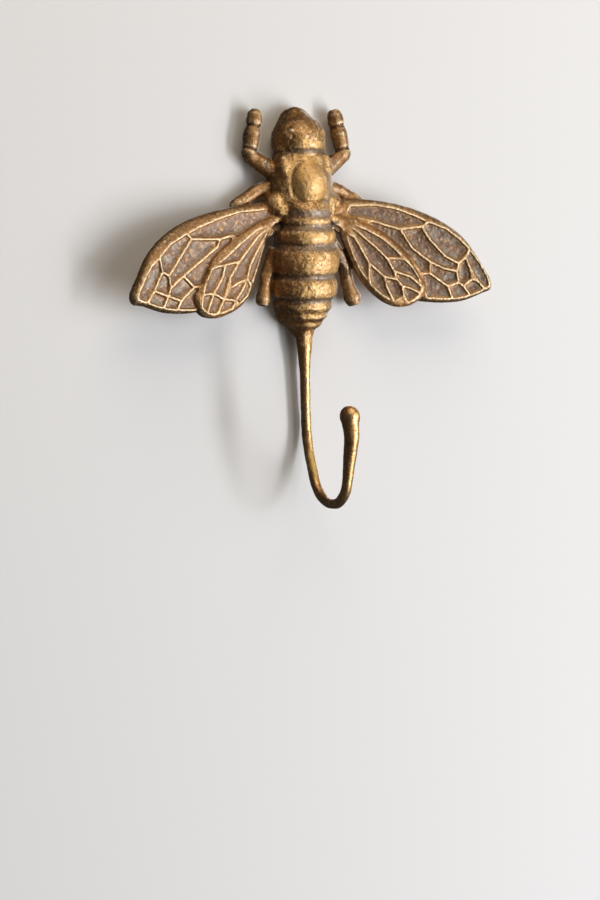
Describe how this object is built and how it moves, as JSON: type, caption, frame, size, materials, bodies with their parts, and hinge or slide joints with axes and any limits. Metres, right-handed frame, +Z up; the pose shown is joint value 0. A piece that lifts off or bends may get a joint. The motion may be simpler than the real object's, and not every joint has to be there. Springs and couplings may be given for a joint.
{
  "type": "wall hook",
  "caption": "Cast wall hook shaped as a bee with veined spread wings and a ringed body, whose tail runs down into a forward J-shaped hook ending in a ball.",
  "frame": {"origin": "centre of the keyhole's entry hole, on the flat back that lies on the wall", "axes": "+X to the right seen from the front, +Y into the wall, +Z up; the front faces -Y"},
  "size_m": [0.1776, 0.0484, 0.1748],
  "materials": {
    "antique_brass": "dark brown patina in the hollows, rubbed to dull gold on the raised edges"
  },
  "bodies": {
    "root": {"bee_hook": "antique_brass"}
  },
  "joints": []
}
